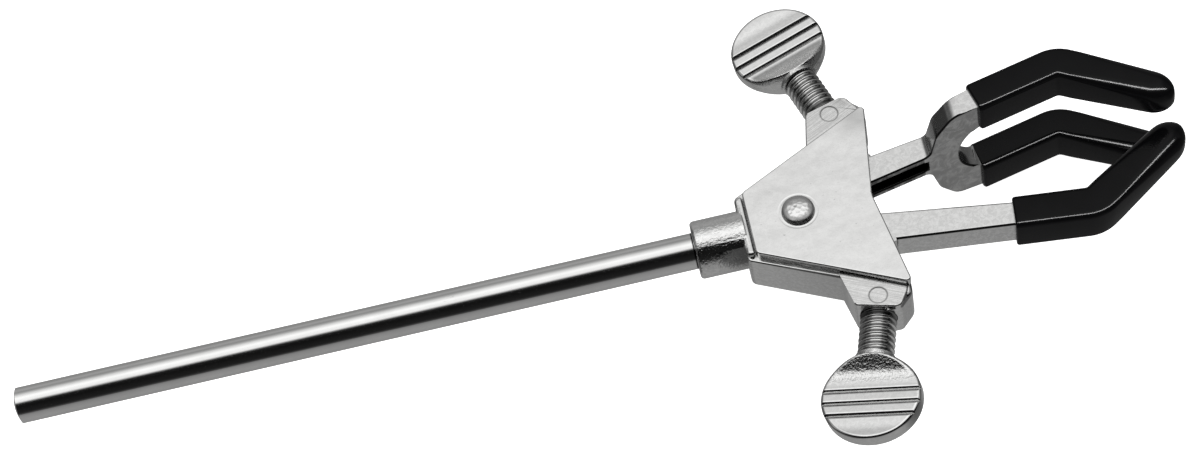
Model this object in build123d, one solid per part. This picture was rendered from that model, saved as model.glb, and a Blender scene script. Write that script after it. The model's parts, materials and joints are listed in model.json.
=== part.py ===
from build123d import *
import math
import os

# A three-finger dual-adjust extension clamp for a laboratory retort stand.
# Millimetres. +X runs along the support rod's axis from the rod to the fingers,
# +Y points to the two-finger jaw, +Z is the outward normal of the front cover.
# Origin: on the rod's axis, in the plane of the socket's mouth.

# ---------------------------------------------------------------- dimensions
ROD_DIA = 8.0
ROD_EXPOSED = 152.0
ROD_CROWN = 1.0
ROD_IN_SOCKET = 12.4
ROD_GROOVE_START = 0.1
ROD_GROOVE_WIDTH = 1.0
ROD_GROOVE_DEPTH = 0.35
ROD_FIT = 0.02

SOCKET_DIA = 12.8
SOCKET_MOUTH_ROUND = 0.9
SOCKET_MOUTH_CHAMFER = 0.35

BODY_LEFT = 10.6
BODY_LEFT_HALF = 8.1
BODY_RIGHT = 42.3
BODY_SIDE_SLOPE = 0.51
BODY_HALF_THICKNESS = 6.4
BODY_NOTCH = 38.8
BODY_SHOULDER_X = 40.6
BODY_SHOULDER_Y = 20.0
REAR_RIM_TOP = 5.6
REAR_RIM_HALF = 7.7
REAR_RIM_GAP = 0.3
REAR_RIM_CHAMFER = 0.5
CAVITY_HALF = 4.25
CAVITY_LEFT = 13.6
CAVITY_KNEE_X = 36.0
CAVITY_MOUTH_HALF = 19.4
WALL = 2.4
REAR_EDGE_ROUND = 1.3

COVER_LEFT = 12.6
COVER_LEFT_HALF = 7.9
COVER_RIGHT = 43.3
COVER_RIGHT_HALF = 23.6
COVER_NOTCH = 39.8
COVER_TOP_ROUND = 0.35

PIVOT_X = 23.5
RIVET_DIA = 5.0
RIVET_HEAD_DIA = 7.3
RIVET_HEAD_HEIGHT = 1.7
RIVET_TAIL_HEIGHT = 1.1
RIVET_FIT = 0.02
RUNNING_CLEARANCE = 0.05

LUG_TOP = 4.8
LUG_GAP = 0.45
LUG_BULGE = 1.0
BULGE_SETBACK = 0.65
MARK_DIA = 3.9
MARK_DEPTH = 0.12
MARK_X = 35.5
MARK_Y = 23.9

SCREW_LEAN_DEG = 17.0
SCREW_X = 35.3
SCREW_Y = 24.77
LUG_END = 1.7
THREAD_DIA = 7.94
THREAD_PITCH = 1.411
THREAD_DEPTH = 0.72
STUD_LENGTH = 27.0
HEAD_CENTRE = 36.3
HEAD_WIDTH = 21.5
HEAD_LENGTH = 20.0
HEAD_THICKNESS = 4.0
HEAD_RIM_ROUND = 0.45
HEAD_BEND = -4.3
HEAD_FLARE = 0.56
HEAD_ROOT_HALF = 4.3
GROOVE_SPACING = 2.87
GROOVE_DEPTH = 0.55
GROOVE_CUTTER = 1.0
COLLAR_DIA = 8.8
COLLAR_OVERLAP = 2.5
COLLAR_ON_THREAD = 0.9
PAD_DIA = 4.4
PAD_HEIGHT = 1.9
PAD_STEM_DIA = 2.4
PAD_STEM_LENGTH = 2.4
PAD_GAP = 0.06
PAD_SHOULDER_GAP = 0.1
PAD_BORE_SPARE = 0.15
UPPER_HEAD_SPIN_DEG = -5.0
LOWER_HEAD_SPIN_DEG = 10.0
UPPER_GROOVE_SHIFT = 0.0
LOWER_GROOVE_SHIFT = 1.6

ARM_HALF = 3.4
EAR_RADIUS = 6.8
EAR_OUTER = 4.15
EAR_INNER = 1.5
HUB_RADIUS = 3.6
HUB_TOP = 1.4
ARM_EDGE_ROUND = 0.5
CHANNEL_X = 44.7
CHANNEL_Y = 7.2
CHANNEL_TILT_DEG = 12.2
CHANNEL_LENGTH = 15.0
CHANNEL_DEPTH = 4.0
CHANNEL_WIDTH = 3.4
FORK_NOSE_RADIUS = 7.0
SINGLE_NOSE_RADIUS = 5.6

PRONG_Z = 11.7
PRONG_THICKNESS = 7.0
PRONG_WIDTH = 5.4
HUB_NOTCH_X = 69.1
FINGER_WIDTH = 5.9
FINGER_EDGE_ROUND = 0.9
FORK_START = (65.4, 12.4)
FORK_BEND = (84.8, 16.9)
FORK_TIP = (107.4, 3.3)
SINGLE_START = (68.2, -10.75)
SINGLE_BEND = (85.6, -12.8)
SINGLE_TIP = (108.4, 2.6)
COATING = 1.0
SLEEVE_EDGE_ROUND = 2.0
CORE_SHORTFALL = 1.6

SPRING_WIRE = 0.7
SPRING_RADIUS = 4.4
SPRING_HALF_HEIGHT = 1.0
SPRING_LEG_REACH = 10.1
SPRING_FORK_LEG_Y = 2.35
SPRING_SINGLE_LEG_Y = -1.35
SPRING_START_DEG = -51.4
SPRING_TURNS = 2.714
SPRING_COIL_POINTS = 24

LEAN = math.radians(SCREW_LEAN_DEG)
LEVER = abs(-(SCREW_X - PIVOT_X) * math.cos(LEAN) - SCREW_Y * math.sin(LEAN))
FOOT_TO_SCREW = (SCREW_X - PIVOT_X) * -math.sin(LEAN) + SCREW_Y * math.cos(LEAN)


# ------------------------------------------------------------------- helpers
def outline(points):
    """A flat face from (x, y) or (x, y, corner radius) points."""
    face = make_face(Polyline(*[(p[0], p[1]) for p in points], close=True))
    for p in points:
        if len(p) == 3:
            corner = face.vertices().sort_by_distance((p[0], p[1], 0))[0]
            face = fillet(corner, p[2])
    return face


def prism(points, low, high):
    """The outline raised from one height to another."""
    return Pos(0, 0, low) * extrude(outline(points), high - low)


def both_sides(points):
    """A half outline with y above zero, closed by its own mirror image."""
    other = [(p[0], -p[1]) + tuple(p[2:]) for p in reversed(points) if p[1] != 0]
    return points + other


def cylinder(radius, low, high, x=0.0, y=0.0):
    """A cylinder along Z between two heights."""
    return Pos(x, y, (low + high) / 2) * Cylinder(radius, high - low)


def turned(points):
    """A solid of revolution about X from (x, radius) points."""
    face = make_face(Polyline(*[(x, r, 0) for x, r in points], close=True))
    return revolve(face, Axis.X, 360)


def body_side(x):
    """Height of the casting's sloping side wall at a place along the rod."""
    return BODY_LEFT_HALF + BODY_SIDE_SLOPE * (x - BODY_LEFT)


def screw_frame(side, offset=0.0):
    """Frame on a thumbscrew's axis: local Z points outward, local X across it."""
    outward = Vector(-math.sin(LEAN), side * math.cos(LEAN), 0)
    origin = Vector(SCREW_X, side * SCREW_Y, 0) + outward * offset
    across = Vector(math.cos(LEAN), side * math.sin(LEAN), 0)
    return Plane(origin=origin, x_dir=across, z_dir=outward)


def nose_radius(side):
    """Radius of the rounded nose that a thumbscrew pushes on."""
    return FORK_NOSE_RADIUS if side > 0 else SINGLE_NOSE_RADIUS


def tip_offset(side):
    """Where a thumbscrew's end stands on its axis, measured from the lug's frame."""
    return -(FOOT_TO_SCREW - nose_radius(side) - PAD_GAP)


# -------------------------------------------------------------- rod and body
def support_rod():
    """Plain rod with a crowned free end and a relief groove inside the socket."""
    r = ROD_DIA / 2
    groove_end = ROD_GROOVE_START + ROD_GROOVE_WIDTH
    shank = turned([
        (-ROD_EXPOSED + ROD_CROWN, 0),
        (-ROD_EXPOSED + ROD_CROWN, r),
        (ROD_GROOVE_START, r),
        (ROD_GROOVE_START, r - ROD_GROOVE_DEPTH),
        (groove_end, r - ROD_GROOVE_DEPTH),
        (groove_end, r),
        (ROD_IN_SOCKET, r),
        (ROD_IN_SOCKET, 0),
    ])
    crown_radius = (r * r + ROD_CROWN * ROD_CROWN) / (2 * ROD_CROWN)
    crown = Pos(-ROD_EXPOSED + crown_radius, 0, 0) * Sphere(crown_radius)
    keep = Pos(-ROD_EXPOSED + ROD_CROWN / 2, 0, 0) * Box(ROD_CROWN, 2 * ROD_DIA, 2 * ROD_DIA)
    return shank + (crown & keep)


def lug_outline():
    """Outline of the screw lug at the jaw end, on the two-finger side."""
    return [
        (28.6, 16.5),
        (30.35, 25.1, 1.0),
        (39.5, 27.8, 1.6),
        (41.9, 24.0, 3.0),
        (BODY_RIGHT, BODY_SHOULDER_Y, 4.0),
        (BODY_RIGHT, 14.0),
    ]


def lug_bulge():
    """Rounded bulge on the lug's jaw side, set back below its flat front face."""
    block = prism([
        (36.0, 20.0),
        (36.0, 27.4),
        (39.6, 27.6, 1.5),
        (41.9 + LUG_BULGE, 24.4, 3.0),
        (BODY_RIGHT + 0.8 * LUG_BULGE, 20.6, 3.0),
        (BODY_RIGHT - 1.0, 18.0),
    ], -BODY_HALF_THICKNESS, LUG_TOP - BULGE_SETBACK)
    block = fillet(block.faces().sort_by(Axis.Z)[0].edges(), REAR_EDGE_ROUND)
    return fillet(block.faces().sort_by(Axis.Z)[-1].edges(), LUG_BULGE)


def cover_outline(grow=0.0):
    """Five-sided cover with a shallow V towards the jaws, optionally grown outwards."""
    return both_sides([
        (COVER_LEFT - grow, COVER_LEFT_HALF + grow, 1.4),
        (COVER_RIGHT + grow, COVER_RIGHT_HALF + grow, 0.9),
        (COVER_NOTCH + grow, 0, 8.0),
    ])


def body_casting():
    """Die-cast housing: rod socket, rear wall, side walls and two screw lugs."""
    low = -BODY_HALF_THICKNESS
    main = prism(both_sides([
        (BODY_LEFT, BODY_LEFT_HALF, 1.5),
        (BODY_SHOULDER_X, body_side(BODY_SHOULDER_X), 1.0),
        (BODY_RIGHT, BODY_SHOULDER_Y, 3.0),
        (BODY_NOTCH, 0, 8.0),
    ]), low, CAVITY_HALF)
    main = fillet(main.faces().sort_by(Axis.Z)[0].edges(), REAR_EDGE_ROUND)

    lug = prism(lug_outline(), low, LUG_TOP)
    lug = fillet(lug.faces().sort_by(Axis.Z)[0].edges(), REAR_EDGE_ROUND)
    lug += lug_bulge()
    lug -= prism(cover_outline(LUG_GAP), CAVITY_HALF, LUG_TOP + 1)
    lug -= cylinder(MARK_DIA / 2, LUG_TOP - MARK_DEPTH, LUG_TOP + 1, MARK_X, MARK_Y)
    body = main + lug + mirror(lug, about=Plane.XZ)

    rim = prism(both_sides([
        (BODY_LEFT, REAR_RIM_HALF, 1.2),
        (COVER_LEFT - REAR_RIM_GAP, REAR_RIM_HALF),
    ]), 0, REAR_RIM_TOP)
    body += chamfer(rim.faces().sort_by(Axis.Z)[-1].edges().sort_by(Axis.X)[0], REAR_RIM_CHAMFER)

    inner_drop = WALL * math.hypot(1, BODY_SIDE_SLOPE)
    cavity = prism(both_sides([
        (CAVITY_LEFT, body_side(CAVITY_LEFT) - inner_drop, 1.0),
        (CAVITY_KNEE_X, body_side(CAVITY_KNEE_X) - inner_drop, 2.0),
        (BODY_RIGHT + 4, CAVITY_MOUTH_HALF),
    ]), -CAVITY_HALF, CAVITY_HALF + 3)
    body -= cavity

    socket = turned([(0, 0), (0, SOCKET_DIA / 2), (BODY_LEFT + 1, SOCKET_DIA / 2), (BODY_LEFT + 1, 0)])
    mouth = socket.faces().sort_by(Axis.X)[0].edges()
    body += fillet(mouth, SOCKET_MOUTH_ROUND)

    r = ROD_DIA / 2 + ROD_FIT
    body -= turned([
        (-1, 0),
        (-1, r + SOCKET_MOUTH_CHAMFER + 1),
        (SOCKET_MOUTH_CHAMFER, r),
        (ROD_IN_SOCKET + ROD_FIT, r),
        (ROD_IN_SOCKET + ROD_FIT, 0),
    ])
    for side in (1, -1):
        frame = screw_frame(side, LUG_END + 1)
        bore_length = FOOT_TO_SCREW
        bore = Cylinder(THREAD_DIA / 2 + RUNNING_CLEARANCE, bore_length)
        body -= frame * Pos(0, 0, -bore_length / 2) * bore
    body -= cylinder(RIVET_DIA / 2 + RIVET_FIT, low - 1, 0, PIVOT_X)
    return body


def front_cover():
    """Flat cover plate with softly rounded front edges and the rivet's hole."""
    plate = extrude(outline(cover_outline()), BODY_HALF_THICKNESS - CAVITY_HALF)
    plate = Pos(0, 0, CAVITY_HALF) * plate
    plate = fillet(plate.faces().sort_by(Axis.Z)[-1].edges(), COVER_TOP_ROUND)
    return plate - cylinder(RIVET_DIA / 2 + RIVET_FIT, 0, BODY_HALF_THICKNESS + 1, PIVOT_X)


def pivot_rivet():
    """Full-length rivet: domed head in front, low clinched head behind."""
    r = RIVET_DIA / 2
    top = BODY_HALF_THICKNESS
    rivet = cylinder(r, -top, top, PIVOT_X)
    for sign, height in ((1, RIVET_HEAD_HEIGHT), (-1, RIVET_TAIL_HEIGHT)):
        base = RIVET_HEAD_DIA / 2
        ball = (base * base + height * height) / (2 * height)
        dome = Pos(PIVOT_X, 0, sign * (top + height - ball)) * Sphere(ball)
        slab = Pos(PIVOT_X, 0, sign * (top + height / 2)) * Box(20, 20, height)
        rivet += dome & slab
    return rivet


# --------------------------------------------------------------------- jaws
def nose(side):
    """Rounded nose on a jaw's outer face, concentric with the thumbscrew's line of push."""
    foot_x = PIVOT_X + LEVER * math.cos(LEAN)
    foot_y = side * LEVER * math.sin(LEAN)
    return cylinder(nose_radius(side), -ARM_HALF, ARM_HALF, foot_x, foot_y)


def ear(low, high):
    """Round pivot ear."""
    return cylinder(EAR_RADIUS, low, high, PIVOT_X)


def pivot_bore():
    """Running bore for the rivet through a jaw."""
    return cylinder(RIVET_DIA / 2 + RUNNING_CLEARANCE, -EAR_OUTER - 1, EAR_OUTER + 1, PIVOT_X)


def bent_strip(start, bend, tip, half):
    """Outline of a bent finger around its centre line, with a round end."""
    first = (Vector(*bend) - Vector(*start)).normalized()
    second = (Vector(*tip) - Vector(*bend)).normalized()
    left_1 = Vector(-first.Y, first.X)
    left_2 = Vector(-second.Y, second.X)
    mitre = (left_1 + left_2).normalized() * (half / math.cos(left_1.get_angle(left_2) * math.pi / 360))
    p = Vector(*start)
    b = Vector(*bend)
    e = Vector(*tip) - second * half
    strip = make_face(Polyline(
        p + left_1 * half,
        b + mitre,
        e + left_2 * half,
        e - left_2 * half,
        b - mitre,
        p - left_1 * half,
        close=True,
    ))
    return strip + Pos(e.X, e.Y, 0) * Circle(half)


def finger(start, bend, tip, width, z, grow=0.0, edge=FINGER_EDGE_ROUND):
    """A bent bar of rectangular section with rounded edges, centred on one height."""
    thickness = PRONG_THICKNESS + 2 * grow
    bar = extrude(bent_strip(start, bend, tip, width / 2 + grow), thickness)
    bar = Pos(0, 0, z - thickness / 2) * bar
    flats = bar.faces().filter_by(Axis.Z)
    return fillet(flats.edges(), edge)


def shortened(bend, tip, length):
    """A tip point pulled back along the finger."""
    back = (Vector(*bend) - Vector(*tip)).normalized() * length
    return (tip[0] + back.X, tip[1] + back.Y)


def fork_plan():
    """Plan of the two-finger jaw in X and Z: bar, horseshoe hub and prong roots."""
    outer = PRONG_Z + PRONG_THICKNESS / 2
    inner = PRONG_Z - PRONG_THICKNESS / 2
    plan = outline(both_sides([
        (28.0, ARM_HALF),
        (54.3, ARM_HALF, 2.0),
        (56.1, 10.2, 5.0),
        (60.0, outer, 4.0),
        (HUB_NOTCH_X, outer),
    ]))
    return plan - Pos(HUB_NOTCH_X, 0) * Circle(inner)


def fork_jaw():
    """Two-finger jaw: rear pivot ear with spring hub, channelled bar, horseshoe, two prongs."""
    side_profile = outline([
        (31.2, 2.6), (40.65, 4.95, 20.0), (53.5, 7.75, 20.0), (60.0, 8.7, 20.0), (67.5, 10.25),
        (66.2, 15.4), (59.5, 13.7, 12.0), (53.0, 13.5, 12.0), (41.9, 11.75, 10.0),
        (36.0, 9.9, 10.0), (30.5, 7.9, 2.0), (29.0, 5.2),
    ])
    reach = PRONG_Z + PRONG_THICKNESS
    side_solid = Pos(0, 0, -reach) * extrude(side_profile, 2 * reach)
    plan_solid = Plane.XZ * fork_plan()
    plan_solid = extrude(plan_solid, 30, both=True)
    jaw = side_solid & plan_solid
    jaw += nose(1) & Pos(38, 12, 0) * Box(8, 6, 20)

    slot = Box(CHANNEL_LENGTH, CHANNEL_DEPTH, CHANNEL_WIDTH)
    slot += Pos(CHANNEL_LENGTH / 2, 0, 0) * Rot(90, 0, 0) * Cylinder(CHANNEL_WIDTH / 2, CHANNEL_DEPTH)
    jaw -= Pos(CHANNEL_X, CHANNEL_Y, 0) * Rot(0, 0, CHANNEL_TILT_DEG) * slot

    root = prism([(23.5, -5.5), (30.2, -0.4), (33.0, 3.2), (33.0, 8.6), (29.0, 7.6), (22.0, 6.0)],
                 -EAR_OUTER, -EAR_INNER)
    jaw += ear(-EAR_OUTER, -EAR_INNER) + (root & Pos(0, 0, -10) * Box(80, 80, 20))
    jaw += cylinder(HUB_RADIUS, -EAR_INNER, HUB_TOP, PIVOT_X)
    tip = shortened(FORK_BEND, FORK_TIP, CORE_SHORTFALL)
    for z in (PRONG_Z, -PRONG_Z):
        jaw += finger(FORK_START, FORK_BEND, tip, PRONG_WIDTH, z)
    return jaw - pivot_bore()


def single_jaw():
    """One-finger jaw: front pivot ear, plain tapering bar and one finger."""
    side_profile = outline([
        (31.2, -1.55), (41.0, -3.2, 20.0), (69.0, -7.95), (69.0, -13.75),
        (42.1, -10.45, 15.0), (33.0, -8.3, 10.0), (29.0, -5.6, 1.5),
    ])
    bar = Pos(0, 0, -ARM_HALF) * extrude(side_profile, 2 * ARM_HALF)
    bar = fillet(bar.faces().filter_by(Axis.Z).edges(), ARM_EDGE_ROUND)
    jaw = bar + (nose(-1) & Pos(38.5, -10.5, 0) * Box(8, 5, 20))
    root = prism([(22.0, -6.0), (29.0, -5.6), (33.0, -7.9), (33.0, -2.4), (30.2, 0.4), (23.5, 5.5)],
                 EAR_INNER, EAR_OUTER)
    jaw += ear(EAR_INNER, EAR_OUTER) + root
    tip = shortened(SINGLE_BEND, SINGLE_TIP, CORE_SHORTFALL)
    jaw += finger(SINGLE_START, SINGLE_BEND, tip, FINGER_WIDTH, 0)
    return jaw - pivot_bore()


def sleeve(start, bend, tip, width, z, jaw):
    """Vinyl sleeve: the finger grown by the coating, with the jaw's own metal taken out."""
    coat = finger(start, bend, tip, width, z, grow=COATING, edge=SLEEVE_EDGE_ROUND)
    first = (Vector(*bend) - Vector(*start)).normalized()
    cut = Plane(origin=(start[0], start[1], z), x_dir=(0, 0, 1), z_dir=(first.X, first.Y, 0))
    square_end = cut * Pos(0, 0, -10) * Box(40, 40, 20)
    return (coat - square_end) - jaw


# --------------------------------------------------------------- thumbscrews
def screw_stud(side):
    """Threaded stud, drawn as a ring-grooved bar, with a blind bore for the thrust pad."""
    r = THREAD_DIA / 2
    root = r - THREAD_DEPTH
    start = PAD_HEIGHT + PAD_SHOULDER_GAP
    points = [(start, 0), (start, root)]
    x = start + THREAD_DEPTH
    crest = THREAD_PITCH / 8
    while x + THREAD_PITCH < STUD_LENGTH:
        points += [(x, r), (x + crest, r), (x + THREAD_PITCH / 2, root), (x + THREAD_PITCH - crest, root)]
        x += THREAD_PITCH
    points += [(x, root), (x, 0)]
    stud = turned(points)
    bore_depth = PAD_STEM_LENGTH + PAD_BORE_SPARE
    bore = Pos(start + bore_depth / 2, 0, 0) * Rot(0, 90, 0)
    stud -= bore * Cylinder(PAD_STEM_DIA / 2 + RUNNING_CLEARANCE, bore_depth)
    return screw_frame(side, tip_offset(side)) * Rot(0, -90, 0) * stud


def thrust_pad(side):
    """Small mushroom-shaped pad that stays still on the jaw while the screw turns."""
    pad = cylinder(PAD_DIA / 2, 0, PAD_HEIGHT)
    pad += cylinder(PAD_STEM_DIA / 2, PAD_HEIGHT, PAD_HEIGHT + PAD_STEM_LENGTH)
    return screw_frame(side, tip_offset(side)) * pad


def head_flare():
    """Part of a thumb grip that swells towards the stud, between its bend and its root."""
    half = HEAD_THICKNESS / 2
    end = -HEAD_LENGTH / 2 - 1
    root = HEAD_BEND - (HEAD_ROOT_HALF - half) / HEAD_FLARE
    right = [(half - 0.2, HEAD_BEND + 1), (half, HEAD_BEND), (HEAD_ROOT_HALF, root), (HEAD_ROOT_HALF, end)]
    section = Plane.YZ * Polyline(*(right + [(-v, w) for v, w in reversed(right)]), close=True)
    inset = HEAD_RIM_ROUND / 2
    oval = Plane.XZ * Ellipse(HEAD_WIDTH / 2 - inset, HEAD_LENGTH / 2 - inset)
    return extrude(make_face(section), HEAD_WIDTH, both=True) & extrude(oval, HEAD_WIDTH, both=True)


def screw_head(side, stud):
    """Oval thumb grip with three grooves across each face and a collar round the stud."""
    half = HEAD_THICKNESS / 2
    oval = extrude(Plane.XZ * Ellipse(HEAD_WIDTH / 2, HEAD_LENGTH / 2), half, both=True)
    head = fillet(oval.edges().filter_by(GeomType.ELLIPSE), HEAD_RIM_ROUND) + head_flare()
    shift = UPPER_GROOVE_SHIFT if side > 0 else LOWER_GROOVE_SHIFT
    for level in (shift - GROOVE_SPACING, shift, shift + GROOVE_SPACING):
        for face in (1, -1):
            ridge = Rot(45, 0, 0) * Box(2 * HEAD_WIDTH, GROOVE_CUTTER, GROOVE_CUTTER)
            depth = half - GROOVE_DEPTH + GROOVE_CUTTER * math.sqrt(0.5)
            head -= Pos(0, face * depth, level) * ridge
    collar_start = STUD_LENGTH - HEAD_CENTRE - COLLAR_ON_THREAD
    head += cylinder(COLLAR_DIA / 2, collar_start, collar_start + COLLAR_OVERLAP)
    spin = UPPER_HEAD_SPIN_DEG if side > 0 else LOWER_HEAD_SPIN_DEG
    head = screw_frame(side, tip_offset(side) + HEAD_CENTRE) * Rot(0, 0, spin) * head
    return head - stud


# -------------------------------------------------------------------- spring
def opening_spring():
    """Torsion spring on the jaws' hub, its two crossed legs pressing the jaws apart."""
    reach = PIVOT_X + SPRING_LEG_REACH
    fork_end = Vector(reach, SPRING_FORK_LEG_Y, -SPRING_HALF_HEIGHT)
    single_end = Vector(reach, SPRING_SINGLE_LEG_Y, SPRING_HALF_HEIGHT)
    sweep_angle = -2 * math.pi * SPRING_TURNS
    coil = []
    for i in range(SPRING_COIL_POINTS + 1):
        part_way = i / SPRING_COIL_POINTS
        angle = math.radians(SPRING_START_DEG) + sweep_angle * part_way
        coil.append(Vector(
            PIVOT_X + SPRING_RADIUS * math.cos(angle),
            SPRING_RADIUS * math.sin(angle),
            SPRING_HALF_HEIGHT * (2 * part_way - 1),
        ))
    fork_leg = (fork_end + coil[0]) / 2
    single_leg = (single_end + coil[-1]) / 2
    path = Spline(fork_end, fork_leg, *coil, single_leg, single_end)
    section = Plane(origin=path @ 0, z_dir=path % 0) * Circle(SPRING_WIRE / 2)
    return sweep(section, path=path)


# -------------------------------------------------------------------- export
def build():
    """Every separate piece of the clamp, by name."""
    fork = fork_jaw()
    single = single_jaw()
    upper_stud = screw_stud(1)
    lower_stud = screw_stud(-1)
    return {
        "support_rod": support_rod(),
        "body_casting": body_casting(),
        "front_cover": front_cover(),
        "pivot_rivet": pivot_rivet(),
        "opening_spring": opening_spring(),
        "fork_jaw": fork,
        "single_jaw": single,
        "front_finger_sleeve": sleeve(FORK_START, FORK_BEND, FORK_TIP, PRONG_WIDTH, PRONG_Z, fork),
        "rear_finger_sleeve": sleeve(FORK_START, FORK_BEND, FORK_TIP, PRONG_WIDTH, -PRONG_Z, fork),
        "single_finger_sleeve": sleeve(SINGLE_START, SINGLE_BEND, SINGLE_TIP, FINGER_WIDTH, 0, single),
        "upper_screw_stud": upper_stud,
        "lower_screw_stud": lower_stud,
        "upper_screw_head": screw_head(1, upper_stud),
        "lower_screw_head": screw_head(-1, lower_stud),
        "upper_thrust_pad": thrust_pad(1),
        "lower_thrust_pad": thrust_pad(-1),
    }


os.makedirs("parts", exist_ok=True)
for name, solid in build().items():
    export_step(solid, f"parts/{name}.step")
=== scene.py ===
import json
import math

import bmesh
import bpy
import numpy as np
from mathutils import Matrix, Vector


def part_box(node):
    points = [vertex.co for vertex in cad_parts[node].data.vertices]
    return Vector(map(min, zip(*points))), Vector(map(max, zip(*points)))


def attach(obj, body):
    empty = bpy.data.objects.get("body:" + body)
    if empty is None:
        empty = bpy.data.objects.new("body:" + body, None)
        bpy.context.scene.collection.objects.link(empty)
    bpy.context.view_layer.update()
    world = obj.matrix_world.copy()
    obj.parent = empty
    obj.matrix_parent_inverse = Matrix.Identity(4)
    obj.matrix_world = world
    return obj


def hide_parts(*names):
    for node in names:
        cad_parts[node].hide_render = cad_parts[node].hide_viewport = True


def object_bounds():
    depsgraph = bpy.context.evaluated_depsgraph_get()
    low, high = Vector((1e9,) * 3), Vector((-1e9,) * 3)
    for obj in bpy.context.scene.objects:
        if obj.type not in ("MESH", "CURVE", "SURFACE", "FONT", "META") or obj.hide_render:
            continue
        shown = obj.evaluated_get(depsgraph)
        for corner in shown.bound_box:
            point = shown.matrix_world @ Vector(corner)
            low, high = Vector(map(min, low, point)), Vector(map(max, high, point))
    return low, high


# A three-finger extension clamp: looks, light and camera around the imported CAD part.
# Metres, in the part's own frame: +X along the rod to the fingers, +Z out of the cover.

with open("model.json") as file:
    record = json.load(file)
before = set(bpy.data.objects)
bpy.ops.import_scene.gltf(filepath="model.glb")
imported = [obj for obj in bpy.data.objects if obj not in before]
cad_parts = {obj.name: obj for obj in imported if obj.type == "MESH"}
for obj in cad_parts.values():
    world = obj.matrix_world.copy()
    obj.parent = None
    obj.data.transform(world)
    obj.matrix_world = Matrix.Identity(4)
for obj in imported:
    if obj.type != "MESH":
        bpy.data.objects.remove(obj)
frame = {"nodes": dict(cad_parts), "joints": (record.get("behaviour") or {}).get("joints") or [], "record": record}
CAD_BOX = [list(corner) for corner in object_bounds()]
NODES = frame["nodes"]
JOINTS = {joint["name"]: joint for joint in frame["joints"]}
MM = 0.001


# ------------------------------------------------------------- shader helpers
def add_node(tree, kind, **settings):
    """A new node in a tree, with its settings."""
    node = tree.nodes.new(kind)
    for key, value in settings.items():
        setattr(node, key, value)
    return node


class Shader:
    """A material under construction: adds nodes to its tree and links them."""

    def __init__(self, name):
        self.material = bpy.data.materials.new(name)
        self.material.use_nodes = True
        self.tree = self.material.node_tree
        self.principled = self.tree.nodes["Principled BSDF"]
        self.place = self.add("ShaderNodeTexCoord").outputs["Object"]

    def add(self, kind, **settings):
        return add_node(self.tree, kind, **settings)

    def link(self, source, target):
        if isinstance(source, (int, float, tuple)):
            target.default_value = source
        else:
            self.tree.links.new(source, target)

    def math(self, operation, a, b=0.0, clamp=False):
        node = self.add("ShaderNodeMath", operation=operation, use_clamp=clamp)
        self.link(a, node.inputs[0])
        self.link(b, node.inputs[1])
        return node.outputs[0]

    def remap(self, value, low, high, to_low=0.0, to_high=1.0):
        node = self.add("ShaderNodeMapRange", interpolation_type="SMOOTHSTEP")
        for slot, part in enumerate((value, low, high, to_low, to_high)):
            self.link(part, node.inputs[slot])
        return node.outputs[0]

    def noise(self, scale, detail=3.0, rough=0.55, stretch=(1.0, 1.0, 1.0), warp=0.0):
        """Noise about 1/scale metres across, optionally drawn out along an axis."""
        mapping = self.add("ShaderNodeMapping")
        self.link(self.place, mapping.inputs["Vector"])
        mapping.inputs["Scale"].default_value = stretch
        node = self.add("ShaderNodeTexNoise")
        self.link(mapping.outputs[0], node.inputs["Vector"])
        node.inputs["Scale"].default_value = scale
        node.inputs["Detail"].default_value = detail
        node.inputs["Roughness"].default_value = rough
        node.inputs["Distortion"].default_value = warp
        return node.outputs["Fac"]

    def times(self, first, *others):
        for other in others:
            first = self.math("MULTIPLY", first, other)
        return first

    def plus(self, a, b):
        return self.math("ADD", a, b)

    def minus(self, a, b):
        return self.math("SUBTRACT", a, b)

    def axes(self):
        node = self.add("ShaderNodeSeparateXYZ")
        self.link(self.place, node.inputs[0])
        return node.outputs

    def turned(self, x, y, angle):
        """The two coordinates in a frame turned by an angle: along it and across it."""
        cos, sin = math.cos(angle), math.sin(angle)
        along = self.plus(self.times(x, cos), self.times(y, sin))
        return along, self.minus(self.times(y, cos), self.times(x, sin))

    def length(self, a, b):
        return self.math("SQRT", self.plus(self.math("POWER", a, 2.0), self.math("POWER", b, 2.0)))

    def mix(self, amount, a, b):
        node = self.add("ShaderNodeMix", data_type="RGBA")
        self.link(amount, node.inputs["Factor"])
        self.link(a, node.inputs["A"])
        self.link(b, node.inputs["B"])
        return node.outputs["Result"]

    def crevice_shade(self, colour, reach, floor=0.05):
        """Painted shade: darkens the colour where surfaces meet, the more closed in a place the darker."""
        open_sky = self.add("ShaderNodeAmbientOcclusion", samples=6)
        open_sky.inputs["Distance"].default_value = reach
        dark = self.add("ShaderNodeMix", data_type="RGBA", blend_type="MULTIPLY")
        self.link(1.0, dark.inputs["Factor"])
        self.link(colour, dark.inputs["A"])
        shade = self.remap(open_sky.outputs["AO"], 0.25, 0.75, floor, 1.0)
        self.link(shade, dark.inputs["B"])
        return dark.outputs["Result"]

    def finish(self, colour, rough, height, relief):
        """Sets colour and roughness, and turns the height into relief of the given depth."""
        self.link(colour, self.principled.inputs["Base Color"])
        self.link(rough, self.principled.inputs["Roughness"])
        bump = self.add("ShaderNodeBump")
        bump.inputs["Distance"].default_value = relief
        self.link(height, bump.inputs["Height"])
        self.link(bump.outputs[0], self.principled.inputs["Normal"])
        return self.material


def grey(value):
    return (value, value, value * 0.995, 1.0)


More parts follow.
